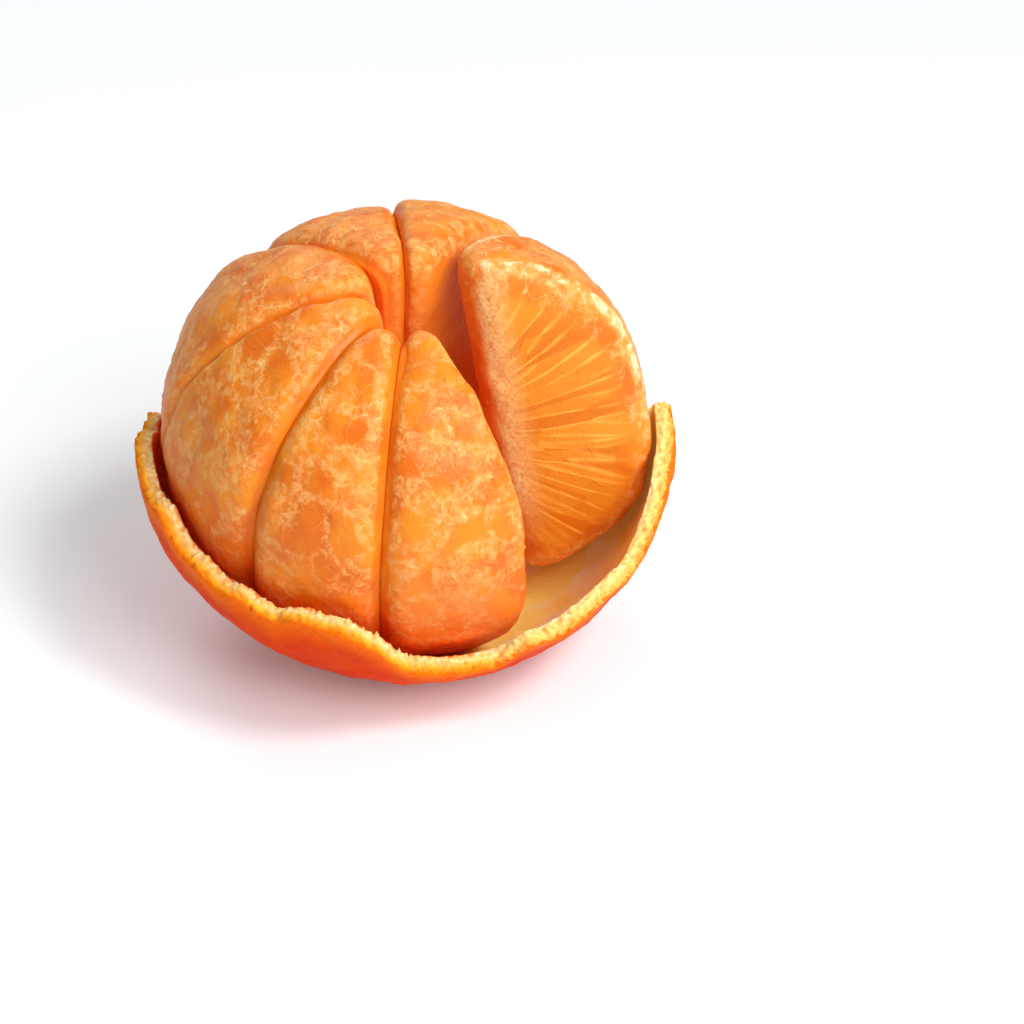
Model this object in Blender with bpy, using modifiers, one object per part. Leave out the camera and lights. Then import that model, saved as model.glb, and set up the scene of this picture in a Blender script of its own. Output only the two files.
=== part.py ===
"""A mandarin, half peeled: a torn cup of peel with seven segments standing in it.

The fruit is modelled upright in its own frame, with +Z along its core and azimuth 0 at its front,
-Y, counted towards +X. An empty then leans it forwards and sets the peel down on z = 0, and a
floor cutter levels the small spot that it rests on, which is centred on the origin.
"""

import math

import bmesh
import bpy
import numpy as np
from mathutils import Matrix

# Driving dimensions, in metres, and angles in degrees.
FLESH_RADIUS = 0.0285
FLESH_HALF_HEIGHT = 0.0238
CORE_RADIUS = 0.0026
SEGMENT_GAP = 0.0004
PEEL_THICKNESS = 0.0021
PEEL_GAP_BELOW = 0.0007
PEEL_GAP_AT_RIM = 0.0013
FORWARD_LEAN = 16
# The flesh has settled a little to the right in its peel.
FLESH_LEAN_RIGHT = 2.5
REST_SPOT_RADIUS = 0.0085

# The flesh's outline in a plane through the core: 2 is an ellipse, and more is squarer.
OUTLINE = 2.15
# Where a segment's middle is, as a share of the flesh's radius.
SEGMENT_MIDDLE = 0.56
# How crisp a segment's edges are at its start side, end side, core and outer surface: a higher
# power rounds them less. Segments that still cling together are crisp where they meet.
ROUNDED = 5
CLINGING = 12

# Each segment's two side planes, as azimuths. The right one has dropped into the gap beside it:
# its inner edge is further from its core line, and it is leant and moved from its place.
SEGMENTS = {
    "front_left_segment": dict(start=-38, end=-4.5, core=0.0042),
    "front_right_segment": dict(start=-4.5, end=33, core=0.0046),
    "left_segment": dict(start=-78, end=-38, powers=(CLINGING, ROUNDED, ROUNDED, ROUNDED)),
    "back_left_segment": dict(start=-130, end=-78, powers=(ROUNDED, CLINGING, ROUNDED, ROUNDED)),
    "back_segment": dict(start=-174, end=-130, scale=0.97, powers=(7, ROUNDED, ROUNDED, ROUNDED)),
    "back_right_segment": dict(start=144, end=186, scale=0.985, powers=(ROUNDED, 7, ROUNDED, ROUNDED)),
    "right_segment": dict(
        start=93,
        end=139,
        core=0.0090,
        outline=2.6,
        powers=(ROUNDED, ROUNDED, 4.2, 4.2),
        scale=0.95,
        lean=(-13, -9),
        move=(0.0018, -0.0053, 0.0025),
    ),
}

# The torn edge of the peel all the way round: azimuth, latitude, and how far it is bent outwards.
PEEL_RIM = (
    (-180, -8, 0),
    (-150, -14, 0),
    (-118, -26, 0),
    (-100, -9, -0.0003),
    (-88, 0, -0.0003),
    (-63, 4, 0),
    (-50, 1, 0),
    (-36, -2, 0.0003),
    (-20, 0, 0.0003),
    (-8, -1, 0.0006),
    (-4, -4, 0.0008),
    (2, -18, 0.0005),
    (22, -20, 0.0008),
    (36, -13, 0.0012),
    (56, -12, 0.0010),
    (76, 0, 0),
    (86, 4, -0.0002),
    (95, 3, -0.0006),
    (101, -8, 0),
    (108, -18, 0),
    (120, -24, 0),
    (150, -16, 0),
)
# The tear also ripples: waves round the fruit, and their height in degrees.
RIM_RIPPLES = ((17, 1.2), (29, 0.8))
# How fast that outward bend fades below the edge.
BEND_POWER = 3
# Where the dropped segment pushes the peel out: how far, at which azimuth, and how narrowly.
PEEL_BULGE = 0.0012
PEEL_BULGE_AZIMUTH = 84
PEEL_BULGE_SHARPNESS = 3

# Mesh density, and how the rays that shape a segment are bunched: out, across and up.
SEGMENT_RINGS = 16
SEGMENT_SIDES = 26
RAY_SPREAD = (0.5, 0.9, 0.9)
BISECTION_STEPS = 40
PEEL_SIDES = 72
PEEL_RINGS = 11
CUTTER_SIZE = 0.1

PEEL_COLOUR = (0.83, 0.17, 0.02, 1.0)
PEEL_ROUGHNESS = 0.4
FLESH_COLOUR = (0.85, 0.27, 0.05, 1.0)
FLESH_ROUGHNESS = 0.35


def clear_scene():
    for obj in list(bpy.data.objects):
        bpy.data.objects.remove(obj, do_unlink=True)


def make_collection(name):
    collection = bpy.data.collections.new(name)
    bpy.context.scene.collection.children.link(collection)
    return collection


def make_material(name, colour, roughness):
    material = bpy.data.materials.new(name)
    material.use_nodes = True
    shader = material.node_tree.nodes["Principled BSDF"]
    shader.inputs["Base Color"].default_value = colour
    shader.inputs["Roughness"].default_value = roughness
    shader.inputs["Metallic"].default_value = 0.0
    return material


def make_object(name, bm, material, collection):
    mesh = bpy.data.meshes.new(name)
    bm.to_mesh(mesh)
    bm.free()
    mesh.materials.append(material)
    mesh.shade_smooth()
    obj = bpy.data.objects.new(name, mesh)
    collection.objects.link(obj)
    return obj


def flesh_level(points, outline):
    """0 at the fruit's centre and 1 on the surface of the flesh."""
    across = np.hypot(points[:, 0], points[:, 1]) / FLESH_RADIUS
    along = np.abs(points[:, 2]) / FLESH_HALF_HEIGHT
    return (across**outline + along**outline) ** (1 / outline)


def segment_levels(offsets, half_angle, core, outline):
    """Levels of a segment's start side, end side, core and outer surface: 0 at its middle, 1 there."""
    middle = np.array([SEGMENT_MIDDLE * FLESH_RADIUS, 0.0, 0.0])
    room = middle[0] * math.sin(half_angle) - SEGMENT_GAP / 2
    away = -offsets[:, 0] * math.sin(half_angle)
    along = offsets[:, 1] * math.cos(half_angle)
    start_level = flesh_level(middle[None], outline)[0]
    outer = (flesh_level(middle + offsets, outline) - start_level) / (1 - start_level)
    return (away - along) / room, (away + along) / room, -offsets[:, 0] / (middle[0] - core), outer


def segment_points(directions, half_angle, core, outline, powers):
    """Where rays from a segment's middle leave it. The segment points along +X from the core line.

    It ends where its four levels, each raised to its own power, add up to 1, which rounds the
    edges between the surfaces.
    """
    near = np.zeros(len(directions))
    far = np.full(len(directions), 2 * FLESH_RADIUS)
    for _ in range(BISECTION_STEPS):
        reach = (near + far) / 2
        levels = segment_levels(directions * reach[:, None], half_angle, core, outline)
        inside = sum(np.clip(level, 0, None) ** power for level, power in zip(levels, powers)) < 1
        near = np.where(inside, reach, near)
        far = np.where(inside, far, reach)
    return directions * near[:, None] + (SEGMENT_MIDDLE * FLESH_RADIUS, 0, 0)


def make_segment(
    name,
    material,
    collection,
    start,
    end,
    core=CORE_RADIUS,
    outline=OUTLINE,
    powers=(ROUNDED, ROUNDED, ROUNDED, ROUNDED),
    scale=1,
    lean=(0, FLESH_LEAN_RIGHT),
    move=(0, 0, 0),
):
    half_angle = math.radians(end - start) / 2
    bm = bmesh.new()
    bmesh.ops.create_uvsphere(bm, u_segments=SEGMENT_SIDES, v_segments=SEGMENT_RINGS, radius=1)
    spread = np.array(RAY_SPREAD) * (1, math.sin(half_angle), 1)
    directions = np.array([vert.co for vert in bm.verts]) * spread
    directions /= np.linalg.norm(directions, axis=1)[:, None]
    for vert, point in zip(bm.verts, segment_points(directions, half_angle, core, outline, powers)):
        vert.co = point
    segment = make_object(name, bm, material, collection)
    outward = Matrix.Rotation(math.radians((start + end) / 2 - 90), 4, "Z")
    back = Matrix.Rotation(math.radians(lean[0]), 4, "X")
    right = Matrix.Rotation(math.radians(lean[1]), 4, "Y")
    segment.matrix_world = Matrix.Translation(move) @ right @ back @ outward @ Matrix.Scale(scale, 4)
    return segment


def rim_at(azimuth):
    """The torn edge's latitude and outward bend at an azimuth."""
    azimuths, latitudes, bends = zip(*PEEL_RIM)
    latitude = np.interp(azimuth, azimuths, latitudes, period=360)
    latitude += sum(height * math.sin(math.radians(waves * azimuth)) for waves, height in RIM_RIPPLES)
    return latitude, np.interp(azimuth, azimuths, bends, period=360)


def peel_point(azimuth, share):
    """A point of the peel's inner surface: share is 0 at the pole below and 1 at the torn edge."""
    rim, bend = rim_at(math.degrees(azimuth))
    latitude = math.radians(share * (rim + 90) - 90)
    beside = math.cos(azimuth - math.radians(PEEL_BULGE_AZIMUTH))
    pushed = math.exp(PEEL_BULGE_SHARPNESS * (beside - 1)) * math.sin(math.pi * share) ** 2
    gap = PEEL_GAP_BELOW + (PEEL_GAP_AT_RIM - PEEL_GAP_BELOW) * share + PEEL_BULGE * pushed
    across = (FLESH_RADIUS + gap) * math.cos(latitude) + bend * share**BEND_POWER
    height = (FLESH_HALF_HEIGHT + gap) * math.sin(latitude)
    return across * math.sin(azimuth), -across * math.cos(azimuth), height


def make_peel(material, collection):
    bm = bmesh.new()
    bmesh.ops.create_uvsphere(bm, u_segments=PEEL_SIDES, v_segments=2 * PEEL_RINGS, radius=1)
    upper = [vert for vert in bm.verts if vert.co.z > 1e-4]
    bmesh.ops.delete(bm, geom=upper, context="VERTS")
    for vert in bm.verts:
        azimuth = math.atan2(vert.co.x, -vert.co.y)
        share = 1 + 2 * math.asin(max(-1, min(1, vert.co.z))) / math.pi
        vert.co = peel_point(azimuth, share)
    peel = make_object("peel", bm, material, collection)
    solidify = peel.modifiers.new("thickness", "SOLIDIFY")
    solidify.thickness = PEEL_THICKNESS
    solidify.offset = 1.0
    solidify.use_even_offset = True
    return peel


def set_down(fruit):
    """Leans the fruit, sinks it to where its rest spot has its radius, and centres the spot."""
    lean = math.radians(FORWARD_LEAN)
    wide = FLESH_RADIUS + PEEL_GAP_BELOW + PEEL_THICKNESS
    tall = FLESH_HALF_HEIGHT + PEEL_GAP_BELOW + PEEL_THICKNESS
    lowest = math.hypot(wide * math.sin(lean), tall * math.cos(lean))
    sunk = math.sqrt(1 - (REST_SPOT_RADIUS / wide) ** 2)
    ahead = (wide**2 - tall**2) * math.sin(lean) * math.cos(lean) / lowest
    fruit.rotation_euler = (lean, 0, 0)
    fruit.location = (0, sunk * ahead, sunk * lowest)


def level_rest_spot(peel, collection):
    bm = bmesh.new()
    below_floor = Matrix.Translation((0, 0, -CUTTER_SIZE / 2))
    bmesh.ops.create_cube(bm, size=CUTTER_SIZE, matrix=below_floor)
    mesh = bpy.data.meshes.new("floor_cutter")
    bm.to_mesh(mesh)
    bm.free()
    cutter = bpy.data.objects.new("floor_cutter", mesh)
    cutter.hide_render = True
    cutter.display_type = "WIRE"
    collection.objects.link(cutter)
    cut = peel.modifiers.new("rest_spot", "BOOLEAN")
    cut.operation = "DIFFERENCE"
    cut.object = cutter


def main():
    clear_scene()
    collection = make_collection("mandarin")
    flesh = make_material("flesh", FLESH_COLOUR, FLESH_ROUGHNESS)
    rind = make_material("rind", PEEL_COLOUR, PEEL_ROUGHNESS)
    fruit = bpy.data.objects.new("fruit", None)
    collection.objects.link(fruit)
    peel = make_peel(rind, collection)
    segments = [make_segment(name, flesh, collection, **facts) for name, facts in SEGMENTS.items()]
    for piece in [peel, *segments]:
        piece.parent = fruit
    set_down(fruit)
    level_rest_spot(peel, make_collection("cutters"))
    bpy.context.view_layer.update()


main()
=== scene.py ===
"""The looks of a half-peeled mandarin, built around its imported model.

A fine segment or peel stands in for each plain solid of the frame. It is grown by the same rule
and from the same dimensions as its solid, in the fruit's own frame: +Z along the core, azimuth 0 at
the front, -Y, counted towards +X. Only the sides between segments differ: the solids keep a gap
there, and the fine segments are fuller and pressed flat against each other. Masks that the shapes
are grown with, such as the net of pale threads on a segment, are kept on the mesh, and the
materials are painted by them.
"""

import math
from types import SimpleNamespace

import bmesh
import bpy
import numpy as np
from mathutils import Matrix, Vector, noise


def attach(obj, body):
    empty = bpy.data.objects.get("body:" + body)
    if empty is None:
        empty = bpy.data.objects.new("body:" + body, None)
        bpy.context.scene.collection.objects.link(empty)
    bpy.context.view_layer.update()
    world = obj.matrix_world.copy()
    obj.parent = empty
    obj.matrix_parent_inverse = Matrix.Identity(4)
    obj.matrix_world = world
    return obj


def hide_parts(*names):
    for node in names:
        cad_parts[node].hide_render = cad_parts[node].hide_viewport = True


# The fruit, as the frame was designed: metres, and angles in degrees.
FLESH_RADIUS = 0.0285
FLESH_HALF_HEIGHT = 0.0238
CORE_RADIUS = 0.0026
SEGMENT_MIDDLE = 0.56
OUTLINE = 2.15
PEEL_THICKNESS = 0.0021
PEEL_GAP_BELOW = 0.0007
PEEL_GAP_AT_RIM = 0.0013
PEEL_BULGE = 0.0012
PEEL_BULGE_AZIMUTH = 84
PEEL_BULGE_SHARPNESS = 3
BEND_POWER = 3
FORWARD_LEAN = 16
FLESH_LEAN_RIGHT = 2.5
REST_SPOT_RADIUS = 0.0085

# How flat a segment's surface stays before it rounds into the next: the higher, the flatter.
ROUNDED = 5
CLINGING = 12
SQUARE_CORE = 10
# Each segment's first and last azimuth, how far from the core its inner edge is, the powers of its start
# side, end side, core and outer surface, and how it is scaled, leant and moved against the others.
SEGMENTS = {
    "front_left_segment": dict(start=-38, end=-4.5, core=0.0042),
    "front_right_segment": dict(start=-4.5, end=33, core=0.0046),
    "left_segment": dict(start=-78, end=-38, powers=(CLINGING, ROUNDED, ROUNDED, ROUNDED)),
    "back_left_segment": dict(start=-130, end=-78, powers=(ROUNDED, CLINGING, ROUNDED, ROUNDED)),
    "back_segment": dict(
        start=-174,
        end=-130,
        scale=0.97,
        powers=(CLINGING, ROUNDED, SQUARE_CORE, ROUNDED),
    ),
    "back_right_segment": dict(
        start=144,
        end=186,
        scale=0.985,
        powers=(ROUNDED, CLINGING, SQUARE_CORE, ROUNDED),
    ),
    "right_segment": dict(
        start=93,
        end=139,
        core=0.0090,
        outline=2.6,
        powers=(ROUNDED, ROUNDED, 4.2, 4.2),
        scale=0.95,
        lean=(-13, -9),
        move=(0.0018, -0.0053, 0.0025),
    ),
}
# The torn edge of the peel all the way round: azimuth, latitude, and how far it is bent outwards.
PEEL_RIM = (
    (-180, -8, 0),
    (-150, -14, 0),
    (-118, -26, 0),
    (-100, -9, -0.0003),
    (-88, 0, -0.0003),
    (-63, 4, 0),
    (-50, 1, 0),
    (-36, -2, 0.0003),
    (-20, 0, 0.0003),
    (-8, -1, 0.0006),
    (-4, -4, 0.0008),
    (2, -18, 0.0005),
    (22, -20, 0.0008),
    (36, -13, 0.0012),
    (56, -12, 0.0010),
    (76, 0, 0),
    (86, 4, -0.0002),
    (95, 3, -0.0006),
    (101, -8, 0),
    (108, -18, 0),
    (120, -24, 0),
    (150, -16, 0),
)
# Ripples along it: how many there are all the way round, and their height in degrees.
RIM_RIPPLES = ((17, 1.2), (29, 0.8))

# How fine the stand-ins are.
SEGMENT_CUTS = 124
PEEL_COLUMNS = 800
INNER_RINGS = 28
CUT_RINGS = 14
OUTER_RINGS = 74
BISECTION_STEPS = 40

# How nearly two segments touch, how rounded a side is that doesn't cling to the neighbour that presses
# it flat, and how much fuller than its room each kind of side is before it is pressed.
FINE_GAP = 0.00003
PRESSED_ROUNDED = 4
SIDE_PRESS = {PRESSED_ROUNDED: 1.13, CLINGING: 1.04}

# A segment's skin, in millimetres: how far each kind of relief stands out, and how large it is.
PLUMP_RISE, PLUMP_SIZE = 0.42, 7.0
LUMP_RISE, LUMP_SIZE = 0.13, 2.2
BLISTER_RISE, BLISTER_SPACING = 0.22, 2.3
PRESSED_RISE = 0.25
NET_DIP, NET_WINDOW = 0.08, 4.6

# Juice sacs on a flat side, in millimetres: how long they are, how many there are in a radian of
# their fan, and how far behind the side's inner edge the fan's centre is.
SAC_LENGTH = 10.0
SACS_PER_RADIAN = 11.0
SAC_FAN_BEHIND = 8.0

# The peel's relief in millimetres, in the same way, outside, inside and on the torn edge.
SWELL_RISE, SWELL_SIZE = 0.34, 8.0
RIND_RISE, RIND_SIZE = 0.16, 2.6
PORE_DEPTH, PORE_RADIUS = 0.05, 0.33
PITH_RISE, PITH_SIZE = 0.16, 2.0
TORN_RISE, TORN_SIZE = 0.5, 0.75
TORN_CROWN = 0.30
# The torn edge's height in degrees of latitude and width in millimetres: tears, the pith's fibres, how
# much longer these are about one azimuth, at the front, and how much lower the skin tears than the pith.
TEAR_HEIGHT, TEAR_WIDTH = 1.5, 3.0
FIBRE_HEIGHT, FIBRE_WIDTH = 1.3, 0.35
LONG_FIBRES, LONG_FIBRES_AZIMUTH, LONG_FIBRES_SPREAD = 2.5, -3, 9
SKIN_TORN_BELOW = 0.6
TEAR_POWER = 8
# The azimuths between which no segment covers the inside of the peel, each from where it fades. The peel is
# painted lit there, and its inside has painted shade elsewhere.
OPENED_START = (16, 26)
OPENED_END = (114, 104)

# The camera. The fruit sits left of and above the middle of the picture, so it aims past the fruit.
CAMERA_ELEVATION = 32
CAMERA_DISTANCE = 0.3346
CAMERA_AIM_RIGHT = 0.0126
CAMERA_AIM_DOWN = 0.0102
CAMERA_LENS = 100
CAMERA_SENSOR = 36

# Each light's place, width, power and colour, and where they all aim.
LIGHTS = {
    "key": ((0.32, -0.17, 0.50), 0.20, 2.0, (1.0, 0.985, 0.96)),
    "right_fill": ((0.25, -0.36, 0.37), 0.30, 1.70, (1.0, 1.0, 1.0)),
    "front_fill": ((-0.02, -0.50, 0.24), 0.40, 0.25, (1.0, 1.0, 1.0)),
    "back": ((-0.15, 0.45, 0.40), 0.35, 0.9, (1.0, 0.98, 0.95)),
}
LIGHT_AIM = (0, 0, 0.025)
SKY_STRENGTH = 0.33
FLOOR_REACH = 4.0

# The colour sockets of a Mix node, which have the same names as its other sockets.
MIX_FIRST, MIX_SECOND, MIX_RESULT = 6, 7, 2

MM = 0.001
# Blender's noise_vector reads its noise from another place in each run, unless it is seeded.
NOISE_SEED = 1


def srgb(red, green, blue):
    """A shader colour from its 0 to 255 screen values."""
    linear = (((c / 255 + 0.055) / 1.055) ** 2.4 if c > 10 else c / 3295 for c in (red, green, blue))
    return (*linear, 1)


def smooth(low, high, value):
    """0 up to low and 1 from high, with a soft step between them. Low may be the greater of the two."""
    t = np.clip((value - low) / (high - low), 0, 1)
    return t * t * (3 - 2 * t)


def each(function, points):
    """A noise function's value at each point."""
    return np.array([function(point) for point in points.tolist()])


def cloud(points, size, octaves=3):
    """Soft noise around 0 with features of this size."""
    return each(lambda p: noise.fractal(p, 0.9, 2.1, octaves), points / size)


def warped(points, size, amount):
    """The points moved about by noise."""
    return points + amount * each(noise.noise_vector, points / size)


def borders(points):
    """How near each point is to the border of its Voronoi cell: 0 on it, and about 1 in the middle."""
    nearest = each(lambda p: noise.voronoi(p)[0][:2], points)
    return nearest[:, 1] - nearest[:, 0]


def fruit_frame():
    """Leans the fruit and sets it down, so that its rest spot is centred on the origin."""
    lean = math.radians(FORWARD_LEAN)
    wide = FLESH_RADIUS + PEEL_GAP_BELOW + PEEL_THICKNESS
    tall = FLESH_HALF_HEIGHT + PEEL_GAP_BELOW + PEEL_THICKNESS
    lowest = math.hypot(wide * math.sin(lean), tall * math.cos(lean))
    sunk = math.sqrt(1 - (REST_SPOT_RADIUS / wide) ** 2)
    ahead = (wide**2 - tall**2) * math.sin(lean) * math.cos(lean) / lowest
    return Matrix.Translation((0, sunk * ahead, sunk * lowest)) @ Matrix.Rotation(lean, 4, "X")


def moved(points, matrix):
    m = np.array(matrix)
    return points @ m[:3, :3].T + m[:3, 3]


def vertex_normals(mesh):
    normals = np.empty(len(mesh.vertices) * 3, np.float32)
    mesh.vertex_normals.foreach_get("vector", normals)
    return normals.reshape(-1, 3).astype(float)


def linked(name, data):
    """A new object in the scene."""
    made = bpy.data.objects.new(name, data)
    bpy.context.scene.collection.objects.link(made)
    return made


def set_points(mesh, points):
    mesh.vertices.foreach_set("co", points.astype(np.float32).ravel())
    mesh.update()


def add_masks(mesh, **masks):
    for name, values in masks.items():
        mesh.attributes.new(name, "FLOAT", "POINT").data.foreach_set("value", values.astype(np.float32))


# Segments


def flesh_level(points, outline):
    """0 at the fruit's centre and 1 on the surface of the flesh."""
    across = np.hypot(points[:, 0], points[:, 1]) / FLESH_RADIUS
    along = np.abs(points[:, 2]) / FLESH_HALF_HEIGHT
    return (across**outline + along**outline) ** (1 / outline)


def segment_levels(offsets, half_angle, core, outline, fuller):
    """Levels of a segment's start side, end side, core and outer surface: 0 at its middle, 1 there."""
    middle = np.array([SEGMENT_MIDDLE * FLESH_RADIUS, 0.0, 0.0])
    room = middle[0] * math.sin(half_angle) - FINE_GAP / 2
    start_room, end_room = (room * press for press in fuller)
    away = -offsets[:, 0] * math.sin(half_angle)
    along = offsets[:, 1] * math.cos(half_angle)
    start_level = flesh_level(middle[None], outline)[0]
    outer = (flesh_level(middle + offsets, outline) - start_level) / (1 - start_level)
    inner = -offsets[:, 0] / (middle[0] - core)
    return (away - along) / start_room, (away + along) / end_room, inner, outer


def segment_surface(directions, half_angle, core, outline, powers, fuller):
    """Where rays from a segment's middle leave it, and each surface's share of the power sum there."""
    near = np.zeros(len(directions))
    far = np.full(len(directions), 2 * FLESH_RADIUS)
    for _ in range(BISECTION_STEPS):
        reach = (near + far) / 2
        levels = segment_levels(directions * reach[:, None], half_angle, core, outline, fuller)
        shares = [np.clip(level, 0, None) ** power for level, power in zip(levels, powers)]
        near = np.where(sum(shares) < 1, reach, near)
        far = np.where(sum(shares) < 1, far, reach)
    return directions * near[:, None] + (SEGMENT_MIDDLE * FLESH_RADIUS, 0, 0), shares


def cube_grid(cuts):
    bm = bmesh.new()
    bmesh.ops.create_cube(bm, size=2)
    bmesh.ops.subdivide_edges(bm, edges=bm.edges[:], cuts=cuts, use_grid_fill=True)
    mesh = bpy.data.meshes.new("grid")
    bm.to_mesh(mesh)
    bm.free()
    return mesh


def grid_directions(mesh, half_angle):
    """Which way each point of a cube's grid lies from a segment's middle, for an even spread over it."""
    directions = np.tan(np.array([vert.co for vert in mesh.vertices]) * math.pi / 4)
    directions *= (0.6, 1.05 * math.sin(half_angle), 0.95)
    directions /= np.linalg.norm(directions, axis=1)[:, None]
    return directions


def pale_net(points, seed):
    """Soft pale bands round the clear windows of a segment's skin: 1 on a band, 0 in a window."""
    at = points / MM + seed
    bent = warped(warped(at, 6.0, 2.4), 1.6, 0.6)
    width = 0.24 + 0.30 * cloud(at + 40, 6.0)
    return smooth(0.18, -0.14, borders(bent / NET_WINDOW) - width)


def clear_of_neighbours(points, half_angle):
    """Pushes points back behind the planes between a segment and its neighbours."""
    for side in (-1, 1):
        normal = np.array((-math.sin(half_angle), side * math.cos(half_angle), 0))
        over = np.clip(points @ normal + FINE_GAP / 3, 0, None)
        points = points - over[:, None] * normal
    return points


def pressed_sides(start, end, powers):
    """The powers of a segment's surfaces, and how much fuller its two sides are, next to its neighbours."""
    sides, fuller = list(powers[:2]), [1, 1]
    touched = (
        any((start - facts["end"]) % 360 == 0 for facts in SEGMENTS.values()),
        any((end - facts["start"]) % 360 == 0 for facts in SEGMENTS.values()),
    )
    for index in range(2):
        if touched[index]:
            sides[index] = PRESSED_ROUNDED if sides[index] == ROUNDED else sides[index]
            fuller[index] = SIDE_PRESS[sides[index]]
    return (*sides, *powers[2:]), fuller


def skin_zones(points, shares, fuller, outline, dropped):
    """Where each point of a segment's smooth shape lies: a zone is 1 inside, and fades to 0."""
    level = flesh_level(points, outline)
    height = points[:, 2] / FLESH_HALF_HEIGHT
    sides = shares[0] + shares[1]
    pressed = sum(share * (press > 1) for share, press in zip(shares, fuller))
    # Along its shoulders the skin is painted paler: partly pale threads, and partly a painted highlight on
    # the rounded edge.
    shoulder_threads_and_highlight = smooth(0.03, 0.10, sides) * smooth(0.34, 0.16, sides) * smooth(0.45, 0.7, shares[3])
    # The dropped segment's flat side keeps some of the net along its outer edge, and more at its top.
    near_skin = smooth(0, 0.10, level - 0.93 + 0.12 * smooth(-0.1, 0.7, height)) * dropped
    return SimpleNamespace(
        level=level,
        height=height,
        sides=sides,
        side=smooth(0.5, 0.9, sides),
        inner=shares[2],
        pressed=pressed,
        crease=smooth(0.22, 0.55, pressed),
        shoulder_threads_and_highlight=shoulder_threads_and_highlight,
        near_skin=near_skin,
    )


def skin_net(points, seed, zone, dropped):
    """The net over a whole segment: none on its flat sides, and more by its tip and its shoulders, where it
    is partly pale threads and partly a painted highlight.
    """
    tip = smooth(11, 5, points[:, 0] / MM) * smooth(0.3, 0.8, zone.height) * (1 - zone.side)
    net = pale_net(points, seed * 17.3)
    net = net + 0.8 * zone.shoulder_threads_and_highlight * (1 - net) * smooth(-0.2, 0.3, cloud(points / MM, 3.0, 2)) + 0.6 * tip
    edge = 0.7 * dropped * smooth(0.01, 0.05, zone.sides) * smooth(0.93, 1.0, zone.level)
    net = net + edge * smooth(-0.4, 0.2, zone.height)
    return np.clip(net * (1 - zone.side * (1 - zone.near_skin)) * (1 - 0.85 * zone.crease), 0, 1)


def nearest_scattered(point):
    """The distance to the nearest of some scattered places, and that place's random number."""
    distances, places = noise.voronoi(point)
    return distances[0], noise.cell(places[0] * 9)


def blisters(points, seed):
    """A few small round blisters under the skin: 1 at the middle of each."""
    found = each(nearest_scattered, points / MM / BLISTER_SPACING + seed * 5)
    return smooth(0.16, 0.05, found[:, 0]) * (found[:, 1] > 0.55)


def skin_relief(points, seed, zone, net, dropped):
    """How far the skin stands out in millimetres, and where blisters or a torn edge whiten it."""
    plump = cloud(points / MM + seed * 7, PLUMP_SIZE, 2)
    lumps = cloud(points / MM + seed * 11, LUMP_SIZE, 3)
    rise = PLUMP_RISE * plump * (1 - 0.75 * zone.side) + LUMP_RISE * lumps * (1 - 0.6 * zone.side)
    rise = rise - NET_DIP * net
    drop = blisters(points, seed) * (1 - zone.side)
    rise = rise + BLISTER_RISE * drop
    # A pressed side is swollen past the plane that it shares with its neighbour, and flattened against it.
    rise = rise + (PRESSED_RISE - rise) * smooth(0.40, 0.60, zone.pressed)
    edge = 2.2 * dropped * smooth(0.01, 0.05, zone.sides) * smooth(0.93, 0.99, zone.level)
    return rise, drop + edge * smooth(-0.3, 0.3, zone.height) * smooth(-0.5, 0.3, lumps)


def flesh_masks(points, core, zone, dropped):
    """The masks that the flesh is painted by, apart from the net, the white spots and the seed."""
    # Juice sacs fan out along a flat side from a point behind its inner edge.
    from_fan = points[:, 0] / MM - core / MM + SAC_FAN_BEHIND
    strip = smooth(0.12, 0.5, zone.sides) * smooth(4.6, 0.8, (points[:, 0] - core) / MM)
    return dict(
        side=zone.side * (1 - zone.near_skin),
        strip=strip * smooth(-0.8, -0.3, zone.height) * dropped,
        crease=zone.crease,
        sacs=zone.side * (1.0 if dropped else 0.35),
        fan_reach=np.hypot(from_fan, points[:, 2] / MM),
        fan_turn=np.arctan2(points[:, 2] / MM, from_fan),
        # Painted light: deep in the fruit, and on the dropped segment's core side, the flesh is painted a
        # lighter orange for light that comes through it into the shade.
        deep_glow=smooth(0.3, 0.8, zone.inner) if dropped else smooth(0.03, 0.32, 1 - zone.level),
        # Painted shade: the lower part of a segment is painted redder, for its shade and for the red light
        # that the peel throws on it.
        low=smooth(0.40, -0.35, zone.height) * (0.1 if dropped else 1),
    )


def segment_place(start, end, scale, lean, move):
    """From a segment that points along +X to its place in the fruit."""
    outward = Matrix.Rotation(math.radians((start + end) / 2 - 90), 4, "Z")
    leant = Matrix.Rotation(math.radians(lean[1]), 4, "Y") @ Matrix.Rotation(math.radians(lean[0]), 4, "X")
    return fruit_frame() @ Matrix.Translation(move) @ leant @ outward @ Matrix.Scale(scale, 4)


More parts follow.
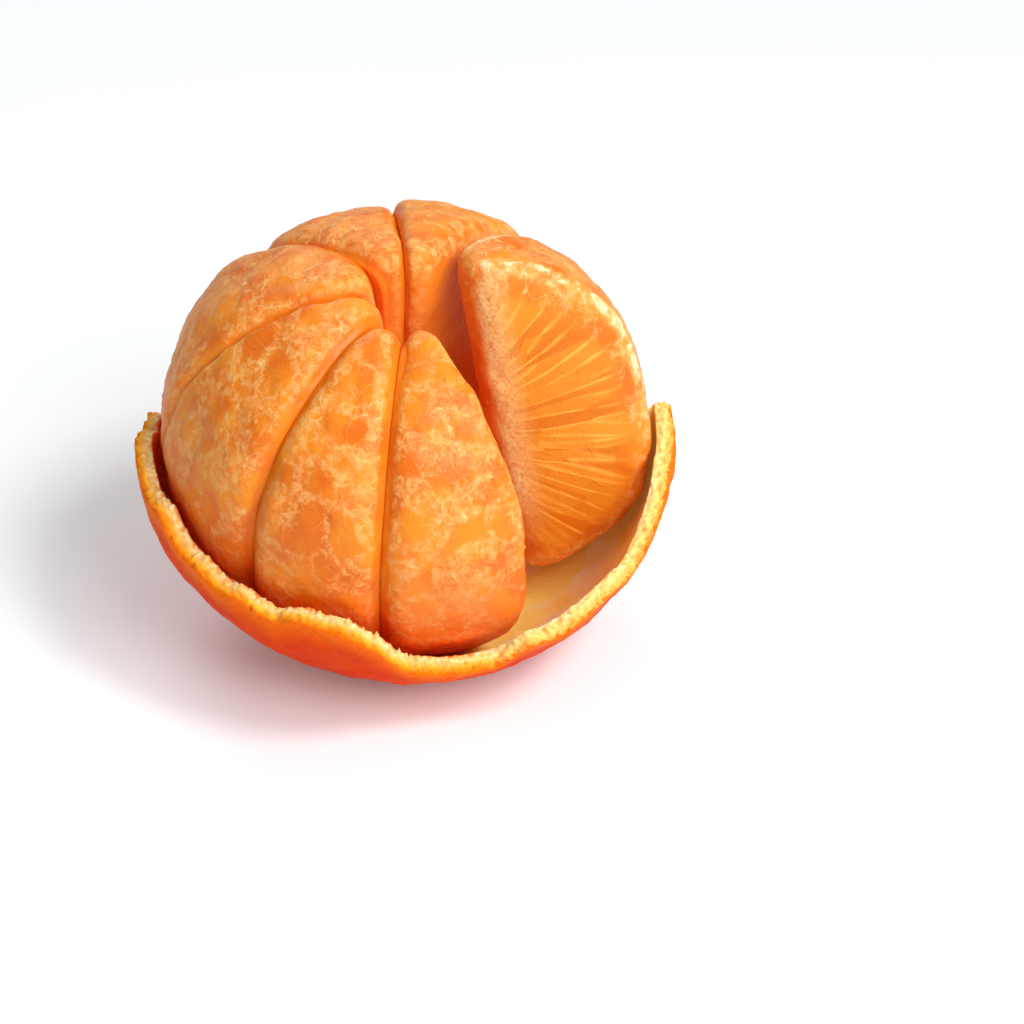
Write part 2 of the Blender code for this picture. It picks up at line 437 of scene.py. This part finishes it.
def make_segment(
    name,
    seed,
    start,
    end,
    core=CORE_RADIUS,
    outline=OUTLINE,
    powers=(ROUNDED, ROUNDED, ROUNDED, ROUNDED),
    scale=1,
    lean=(0, FLESH_LEAN_RIGHT),
    move=(0, 0, 0),
):
    dropped = move != (0, 0, 0)
    powers, fuller = pressed_sides(start, end, powers)
    half_angle = math.radians(end - start) / 2
    mesh = cube_grid(SEGMENT_CUTS)
    directions = grid_directions(mesh, half_angle)
    points, shares = segment_surface(directions, half_angle, core, outline, powers, fuller)
    points = clear_of_neighbours(points, half_angle)
    set_points(mesh, points)
    zone = skin_zones(points, shares, fuller, outline, dropped)
    net = skin_net(points, seed, zone, dropped)
    rise, drop = skin_relief(points, seed, zone, net, dropped)
    points = clear_of_neighbours(points + vertex_normals(mesh) * rise[:, None] * MM, half_angle)
    seeds = np.full(len(points), float(seed))
    add_masks(mesh, net=net, drop=drop, seed=seeds, **flesh_masks(points, core, zone, dropped))
    set_points(mesh, moved(points, segment_place(start, end, scale, lean, move)))
    mesh.shade_smooth()
    return linked("fine_" + name, mesh)


# Peel


def rim_at(azimuth):
    """The torn edge's latitude and outward bend at an azimuth, all in degrees but the bend."""
    azimuths, latitudes, bends = zip(*PEEL_RIM)
    latitude = np.interp(azimuth, azimuths, latitudes, period=360)
    latitude += sum(height * np.sin(np.radians(waves * azimuth)) for waves, height in RIM_RIPPLES)
    return latitude, np.interp(azimuth, azimuths, bends, period=360)


def around(azimuth, size):
    """Points on a circle that noise is read at, so that it closes on itself."""
    return np.stack([np.cos(azimuth), np.sin(azimuth), 0 * azimuth], axis=1) * (FLESH_RADIUS / MM / size)


def peel_layer(azimuth, share, thickness, torn):
    """Points of the peel in the fruit's frame: share 0 at the pole below, 1 at the torn edge."""
    rim, bend = rim_at(np.degrees(azimuth))
    rim = rim + torn
    latitude = np.radians(share * (rim + 90) - 90)
    beside = np.cos(azimuth - math.radians(PEEL_BULGE_AZIMUTH))
    pushed = np.exp(PEEL_BULGE_SHARPNESS * (beside - 1)) * np.sin(math.pi * share) ** 2
    gap = PEEL_GAP_BELOW + (PEEL_GAP_AT_RIM - PEEL_GAP_BELOW) * share + PEEL_BULGE * pushed + thickness
    across = (FLESH_RADIUS + gap) * np.cos(latitude) + bend * share**BEND_POWER
    height = (FLESH_HALF_HEIGHT + gap) * np.sin(latitude)
    return np.stack([across * np.sin(azimuth), -across * np.cos(azimuth), height], axis=1)


def torn_edges(azimuth):
    """How much higher than the rim the pith and the skin reach, in degrees of latitude."""
    # The pith tears in short fibres and the skin outside it more evenly.
    ragged = TEAR_HEIGHT * cloud(around(azimuth, TEAR_WIDTH), 1, 4)
    fibres = FIBRE_HEIGHT * np.clip(each(noise.noise, around(azimuth, FIBRE_WIDTH)), 0, None)
    beside = (np.degrees(azimuth) - LONG_FIBRES_AZIMUTH) / LONG_FIBRES_SPREAD
    return ragged + fibres * (1 + LONG_FIBRES * np.exp(-(beside**2))), ragged - SKIN_TORN_BELOW


def peel_rings():
    """Rings of points up the inside, over the torn edge and down the outside, and where each is."""
    azimuth = np.linspace(-math.pi, math.pi, PEEL_COLUMNS, endpoint=False)
    inner_torn, outer_torn = torn_edges(azimuth)
    rings, through, share_at = [], [], []
    for share in np.linspace(0, 1, INNER_RINGS + 1)[1:]:
        rings.append(peel_layer(azimuth, share, 0, inner_torn * share**TEAR_POWER))
        through.append(0)
        share_at.append(share)
    inner_edge, outer_edge = rings[-1], peel_layer(azimuth, 1, PEEL_THICKNESS, outer_torn)
    for part in np.linspace(0, 1, CUT_RINGS + 1)[1:-1]:
        crown = np.array((0, 0, TORN_CROWN * MM * math.sin(math.pi * part)))
        rings.append(inner_edge + (outer_edge - inner_edge) * part + crown)
        through.append(part)
        share_at.append(1)
    for share in np.linspace(1, 0, OUTER_RINGS + 1)[:-1]:
        rings.append(peel_layer(azimuth, share, PEEL_THICKNESS, outer_torn * share**TEAR_POWER))
        through.append(1)
        share_at.append(share)
    return rings, through, share_at


def lofted(name, rings, poles):
    """A closed mesh through rings of points, from a pole before the first to one after the last."""
    count = len(rings[0])
    points = np.concatenate([*rings, poles])
    faces = []
    for ring in range(len(rings) - 1):
        for column in range(count):
            a, b = ring * count + column, ring * count + (column + 1) % count
            faces.append((a, a + count, b + count, b))
    last = (len(rings) - 1) * count
    for column in range(count):
        after = (column + 1) % count
        faces.append((len(points) - 2, column, after))
        faces.append((len(points) - 1, last + after, last + column))
    mesh = bpy.data.meshes.new(name)
    mesh.from_pydata(points.tolist(), [], faces)
    mesh.update()
    return mesh, points


def rind_pores(at):
    """The pores of the rind: 1 in the middle of each."""
    away = each(lambda p: noise.voronoi(p)[0][:1], warped(at, 2.0, 0.3))[:, 0]
    return np.exp(-((away / PORE_RADIUS) ** 2))


def peel_relief(at, outside, inside, pores):
    """How far the peel stands out, in millimetres."""
    rise = SWELL_RISE * cloud(at, SWELL_SIZE, 2) + RIND_RISE * cloud(at + 30, RIND_SIZE, 2)
    rise = outside * (rise - PORE_DEPTH * pores)
    torn = (1 - outside - inside) * TORN_RISE * cloud(at, TORN_SIZE, 4)
    return rise + (inside * (PITH_RISE * cloud(at, PITH_SIZE, 4)) + torn)


def make_peel():
    rings, through, share_at = peel_rings()
    below = FLESH_HALF_HEIGHT + PEEL_GAP_BELOW
    mesh, points = lofted("fine_peel", rings, [(0, 0, -below), (0, 0, -below - PEEL_THICKNESS)])
    through = np.append(np.repeat(through, PEEL_COLUMNS), (0, 1)).astype(float)
    share = np.append(np.repeat(share_at, PEEL_COLUMNS), (0, 0)).astype(float)
    # The last point is the outside's pole, underneath.
    if vertex_normals(mesh)[-1][2] > 0:
        mesh.flip_normals()
    at = points / MM
    outside = (through == 1).astype(float)
    pores = rind_pores(at)
    rise = peel_relief(at, outside, (through == 0).astype(float), pores)
    points = moved(points + vertex_normals(mesh) * rise[:, None] * MM, fruit_frame())
    points[:, 2] = np.maximum(points[:, 2], 0)
    set_points(mesh, points)
    turned = np.degrees(np.arctan2(at[:, 0], -at[:, 1]))
    # Where the gap leaves the peel open, the peel is painted lit: paler pith and a paler torn edge.
    opened = smooth(*OPENED_START, turned) * smooth(*OPENED_END, turned)
    under_rim = smooth(0.84, 1.0, share) ** 2
    add_masks(mesh, through=through, pores=pores * outside, opened=opened, under_rim=under_rim)
    mesh.shade_smooth()
    return linked("fine_peel", mesh)


# Materials


class Painter:
    """Adds nodes to a material and links them."""

    def __init__(self, name):
        self.material = bpy.data.materials.new(name)
        self.material.use_nodes = True
        self.nodes = self.material.node_tree.nodes
        self.links = self.material.node_tree.links
        self.shader = self.nodes["Principled BSDF"]
        self.where = self.nodes.new("ShaderNodeTexCoord").outputs["Object"]

    def feed(self, socket, value):
        if isinstance(value, bpy.types.NodeSocket):
            self.links.new(value, socket)
        else:
            socket.default_value = value

    def mask(self, name):
        node = self.nodes.new("ShaderNodeAttribute")
        node.attribute_name = name
        return node.outputs["Fac"]

    def noise(self, size, detail=3, kind="FBM", distortion=0.0):
        node = self.nodes.new("ShaderNodeTexNoise")
        node.noise_type = kind
        self.feed(node.inputs["Vector"], self.where)
        self.feed(node.inputs["Scale"], 1 / size)
        self.feed(node.inputs["Detail"], detail)
        self.feed(node.inputs["Distortion"], distortion)
        return node.outputs["Fac"]

    def math(self, operation, a, b=0.0):
        node = self.nodes.new("ShaderNodeMath")
        node.operation = operation
        self.feed(node.inputs[0], a)
        self.feed(node.inputs[1], b)
        return node.outputs[0]

    def ramp(self, value, low, high, to_low=0.0, to_high=1.0):
        node = self.nodes.new("ShaderNodeMapRange")
        node.interpolation_type = "SMOOTHSTEP"
        self.feed(node.inputs["Value"], value)
        self.feed(node.inputs["From Min"], low)
        self.feed(node.inputs["From Max"], high)
        self.feed(node.inputs["To Min"], to_low)
        self.feed(node.inputs["To Max"], to_high)
        return node.outputs[0]

    def mix(self, share, a, b):
        node = self.nodes.new("ShaderNodeMix")
        node.data_type = "RGBA"
        self.feed(node.inputs["Factor"], share)
        self.feed(node.inputs[MIX_FIRST], a)
        self.feed(node.inputs[MIX_SECOND], b)
        return node.outputs[MIX_RESULT]

    def vector(self, operation, a, b=(0, 0, 0)):
        node = self.nodes.new("ShaderNodeVectorMath")
        node.operation = operation
        self.feed(node.inputs[0], a)
        if operation == "SCALE":
            self.feed(node.inputs["Scale"], b)
        else:
            self.feed(node.inputs[1], b)
        return node.outputs["Value" if operation == "LENGTH" else "Vector"]

    def combine(self, x, y, z):
        node = self.nodes.new("ShaderNodeCombineXYZ")
        for socket, value in zip(node.inputs, (x, y, z)):
            self.feed(socket, value)
        return node.outputs[0]

    def warp(self, where, size, amount):
        """The place moved about by noise."""
        node = self.nodes.new("ShaderNodeTexNoise")
        self.feed(node.inputs["Vector"], where)
        self.feed(node.inputs["Scale"], 1 / size)
        self.feed(node.inputs["Detail"], 2.0)
        centred = self.vector("SUBTRACT", node.outputs["Color"], (0.5, 0.5, 0.5))
        return self.vector("ADD", where, self.vector("SCALE", centred, 2 * amount))

    def voronoi(self, feature, where, size=1.0):
        node = self.nodes.new("ShaderNodeTexVoronoi")
        node.feature = feature
        self.feed(node.inputs["Vector"], where)
        self.feed(node.inputs["Scale"], 1 / size)
        return node.outputs

    def bump(self, height, distance):
        node = self.nodes.new("ShaderNodeBump")
        self.feed(node.inputs["Height"], height)
        self.feed(node.inputs["Distance"], distance)
        self.feed(self.shader.inputs["Normal"], node.outputs[0])

    def subsurface(self, weight, scale, radius):
        self.shader.inputs["Subsurface Weight"].default_value = weight
        self.shader.inputs["Subsurface Scale"].default_value = scale
        self.shader.inputs["Subsurface Radius"].default_value = radius


def skin_colour(p):
    """Clear orange windows between pale bands, with fine threads and a mottled grain over both."""
    net = p.mask("net")
    clear = p.mix(p.ramp(p.noise(5 * MM, 2), 0.35, 0.65), srgb(224, 110, 14), srgb(236, 140, 28))
    hairs = p.noise(0.75 * MM, 6, "RIDGED_MULTIFRACTAL", 0.8)
    fuzz = p.noise(0.9 * MM, 5, distortion=0.6)
    grain = p.noise(0.24 * MM, 3)
    bent = p.warp(p.warp(p.where, 4 * MM, 1.6 * MM), 1.2 * MM, 0.35 * MM)
    thread = p.ramp(p.voronoi("DISTANCE_TO_EDGE", bent, 3.0 * MM)["Distance"], 0.0, 0.06, 1.0, 0.0)
    thread = p.math("MULTIPLY", thread, p.ramp(p.noise(3.2 * MM, 2), 0.42, 0.60))
    open_skin = p.math("SUBTRACT", 1.0, p.mask("crease"))
    pale = p.math("MULTIPLY", net, p.ramp(fuzz, 0.25, 0.70, 0.16, 0.56))
    pale = p.math("ADD", pale, p.ramp(fuzz, 0.45, 0.75, 0.0, 0.20))
    hairs = p.math("MULTIPLY", p.ramp(hairs, 0.3, 1.0, 0.0, 0.40), p.ramp(net, 0.0, 0.8, 0.45, 1.0))
    pale = p.math("ADD", pale, hairs)
    pale = p.math("ADD", pale, p.math("MULTIPLY", thread, 0.30))
    pale = p.math("ADD", pale, p.ramp(grain, 0.25, 0.75, -0.14, 0.16))
    pale = p.math("ADD", p.math("MULTIPLY", pale, open_skin), p.math("MULTIPLY", p.mask("drop"), 0.3))
    colour = p.mix(p.ramp(pale, 0.10, 0.80, 0.0, 0.80), clear, srgb(243, 177, 100))
    colour = p.mix(p.ramp(pale, 0.70, 1.30, 0.0, 0.85), colour, srgb(252, 232, 184))
    return p.mix(p.math("MULTIPLY", p.mask("crease"), 0.75), colour, srgb(238, 120, 20)), pale


def sac_colour(p):
    """Long juice sacs seen through a flat side, with bright lines between them."""
    reach = p.mask("fan_reach")
    along = p.math("DIVIDE", reach, SAC_LENGTH)
    across = p.math("MULTIPLY", p.mask("fan_turn"), SACS_PER_RADIAN)
    fan = p.combine(along, across, p.math("MULTIPLY", p.mask("seed"), 3.7))
    fan = p.warp(p.warp(fan, 2.2, 0.30), 0.8, 0.06)
    first, second = p.voronoi("F1", fan), p.voronoi("F2", fan)
    # The distance to the border between two sacs, in millimetres on the face, not in the fan.
    apart = p.vector("SUBTRACT", second["Position"], first["Position"])
    stretch = p.combine(1 / SAC_LENGTH, p.math("DIVIDE", SACS_PER_RADIAN, reach), 0.0)
    steep = p.math("MULTIPLY", p.vector("LENGTH", p.vector("MULTIPLY", apart, stretch)), 2.0)
    squares = [p.math("MULTIPLY", found["Distance"], found["Distance"]) for found in (second, first)]
    border = p.math("DIVIDE", p.math("SUBTRACT", *squares), steep)
    # Two sacs end to end have no clear line between them.
    beside = p.vector("LENGTH", p.vector("MULTIPLY", apart, (0, 1, 0)))
    beside = p.math("DIVIDE", beside, p.vector("LENGTH", apart))
    shown = p.math("MULTIPLY", p.ramp(p.noise(4 * MM, 2), 0.3, 0.6, 0.35, 1.0), p.ramp(beside, 0.45, 0.85))
    line = p.math("MULTIPLY", p.ramp(border, 0.0, 0.42, 0.85, 0.0), shown)
    glow = p.math("MULTIPLY", p.ramp(border, 0.0, 1.1, 0.5, 0.0), shown)
    tone = p.ramp(p.vector("LENGTH", first["Color"]), 0.4, 1.4)
    sac = p.mix(tone, srgb(222, 122, 18), srgb(234, 152, 38))
    sac = p.mix(p.math("MULTIPLY", glow, p.mask("sacs")), sac, srgb(249, 166, 48))
    sac = p.mix(p.math("MULTIPLY", line, p.mask("sacs")), sac, srgb(255, 192, 84))
    return p.mix(p.math("MULTIPLY", p.mask("crease"), 0.5), sac, srgb(238, 116, 20))


def flesh_material():
    p = Painter("flesh_skin")
    skin, pale = skin_colour(p)
    colour = p.mix(p.mask("side"), skin, sac_colour(p))
    # Painted light: a lighter orange deep in the fruit, for light that comes through the flesh into the
    # shade there.
    colour = p.mix(p.math("MULTIPLY", p.mask("deep_glow"), 0.5), colour, srgb(255, 134, 50))
    # Painted shade: redder low on each segment, for its shade and for the red light from the peel.
    colour = p.mix(p.math("MULTIPLY", p.mask("low"), 0.7), colour, srgb(230, 88, 8))
    speck = p.ramp(p.noise(0.45 * MM, 3), 0.34, 0.60, 0.45, 1.0)
    colour = p.mix(p.math("MULTIPLY", p.mask("strip"), speck), colour, srgb(255, 218, 148))
    p.feed(p.shader.inputs["Base Color"], colour)
    p.feed(p.shader.inputs["Roughness"], p.ramp(pale, 0.1, 1.0, 0.38, 0.62))
    p.bump(pale, 0.10 * MM)
    p.shader.inputs["IOR"].default_value = 1.33
    p.subsurface(0.4, 3.5 * MM, (1.0, 0.32, 0.08))
    return p.material


def rind_colour(p, speck):
    rind = p.mix(p.ramp(p.noise(6 * MM, 3), 0.3, 0.7), srgb(210, 48, 0), srgb(222, 64, 0))
    under_rim = p.math("MULTIPLY", p.mask("under_rim"), p.ramp(speck, 0.2, 0.7, 0.7, 1.0))
    rind = p.mix(under_rim, rind, srgb(242, 112, 4))
    return p.mix(p.ramp(p.mask("pores"), 0.2, 0.9, 0.0, 0.30), rind, srgb(200, 38, 2))


def inside_colour(p, speck, opened):
    """Pale pith where the gap lets light in, and painted shade where segments cover it, red-orange as if
    lit by the flesh.
    """
    pith = p.mix(p.ramp(speck, 0.3, 0.7), srgb(255, 230, 168), srgb(255, 244, 206))
    pith = p.mix(p.ramp(p.noise(8 * MM, 3), 0.40, 0.60), pith, srgb(255, 222, 112))
    # Painted shade: red-orange on the inside where the segments cover it, as if lit by the flesh.
    shaded = p.mix(p.ramp(speck, 0.3, 0.7), srgb(250, 84, 30), srgb(255, 124, 48))
    return p.mix(opened, shaded, pith)


def torn_colour(p, speck, opened, uneven):
    """Cream pith, and the yellower zest outside it, painted paler beside the gap for light shining through
    it.
    """
    cream = p.mix(p.ramp(speck, 0.35, 0.7), srgb(246, 178, 90), srgb(255, 228, 172))
    zest = p.mix(p.ramp(speck, 0.35, 0.65), srgb(244, 140, 26), srgb(255, 186, 50))
    torn = p.mix(p.ramp(uneven, 0.35, 0.75), cream, zest)
    # Painted light: the torn edge is painted paler beside the gap, for light shining through the peel
    # there.
    gap_glow = p.math("MULTIPLY", opened, p.ramp(speck, 0.3, 0.6, 0.15, 0.5))
    return p.mix(gap_glow, torn, srgb(255, 228, 140))


def peel_material():
    p = Painter("peel_rind")
    through, opened = p.mask("through"), p.mask("opened")
    speck = p.noise(0.6 * MM, 3)
    uneven = p.math("ADD", through, p.ramp(speck, 0.2, 0.8, -0.18, 0.18))
    rind = rind_colour(p, speck)
    torn = torn_colour(p, speck, opened, uneven)
    colour = p.mix(p.ramp(through, 0.0, 0.12), inside_colour(p, speck, opened), torn)
    colour = p.mix(p.ramp(uneven, 0.72, 1.0), colour, rind)
    colour = p.mix(p.ramp(through, 0.93, 1.0), colour, rind)
    p.feed(p.shader.inputs["Base Color"], colour)
    p.feed(p.shader.inputs["Roughness"], p.ramp(through, 0.9, 1.0, 0.75, 0.55))
    p.bump(p.math("ADD", speck, p.math("MULTIPLY", p.mask("pores"), -1.2)), 0.06 * MM)
    p.shader.inputs["Specular IOR Level"].default_value = 0.04
    p.subsurface(0.5, 2.5 * MM, (1.0, 0.6, 0.3))
    return p.material


def floor_material():
    p = Painter("pale_floor")
    paper = p.mix(p.noise(40 * MM, 2), srgb(238, 243, 246), srgb(241, 246, 249))
    p.feed(p.shader.inputs["Base Color"], paper)
    # A faint glow keeps the fruit's own colour out of the shadow that it casts.
    p.shader.inputs["Emission Color"].default_value = (1, 1, 1, 1)
    p.shader.inputs["Emission Strength"].default_value = 0.08
    p.shader.inputs["Roughness"].default_value = 0.55
    return p.material


# Scene


def make_floor():
    bm = bmesh.new()
    bmesh.ops.create_grid(bm, x_segments=1, y_segments=1, size=FLOOR_REACH)
    mesh = bpy.data.meshes.new("floor")
    bm.to_mesh(mesh)
    bm.free()
    mesh.materials.append(floor_material())
    floor = linked("floor", mesh)


def add_light(name, place, size, power, colour):
    lamp = bpy.data.lights.new(name, "AREA")
    lamp.shape = "DISK"
    lamp.size = size
    lamp.energy = power
    lamp.color = colour
    light = linked(name, lamp)
    light.location = place
    light.rotation_euler = (Vector(LIGHT_AIM) - Vector(place)).to_track_quat("-Z", "Y").to_euler()


def light_scene():
    scene = bpy.context.scene
    scene.world = bpy.data.worlds.new("studio")
    scene.world.use_nodes = True
    sky = scene.world.node_tree.nodes["Background"]
    sky.inputs["Color"].default_value = (1, 1, 1, 1)
    sky.inputs["Strength"].default_value = SKY_STRENGTH
    for name, facts in LIGHTS.items():
        add_light(name, *facts)
    scene.view_settings.view_transform = "Standard"


def add_camera():
    data = bpy.data.cameras.new("camera")
    data.lens = CAMERA_LENS
    data.sensor_width = CAMERA_SENSOR
    camera = linked("camera", data)
    camera.rotation_euler = (math.radians(90 - CAMERA_ELEVATION), 0, 0)
    centre = fruit_frame().to_translation()
    turn = camera.rotation_euler.to_matrix()
    camera.location = centre + turn @ Vector((CAMERA_AIM_RIGHT, -CAMERA_AIM_DOWN, CAMERA_DISTANCE))
    bpy.context.scene.camera = camera


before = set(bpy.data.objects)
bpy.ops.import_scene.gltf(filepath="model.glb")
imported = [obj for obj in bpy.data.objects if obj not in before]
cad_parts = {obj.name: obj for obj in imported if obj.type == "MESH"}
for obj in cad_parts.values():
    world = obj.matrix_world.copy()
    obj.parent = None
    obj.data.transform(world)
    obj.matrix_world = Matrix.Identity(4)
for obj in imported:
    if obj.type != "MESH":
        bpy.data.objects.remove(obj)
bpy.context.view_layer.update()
noise.seed_set(NOISE_SEED)
add_camera()
flesh = flesh_material()
for seed, (name, facts) in enumerate(SEGMENTS.items(), start=1):
    segment = make_segment(name, seed, **facts)
    segment.data.materials.append(flesh)
    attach(segment, "root")
    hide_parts(name)
peel = make_peel()
peel.data.materials.append(peel_material())
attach(peel, "root")
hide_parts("peel")
make_floor()
light_scene()
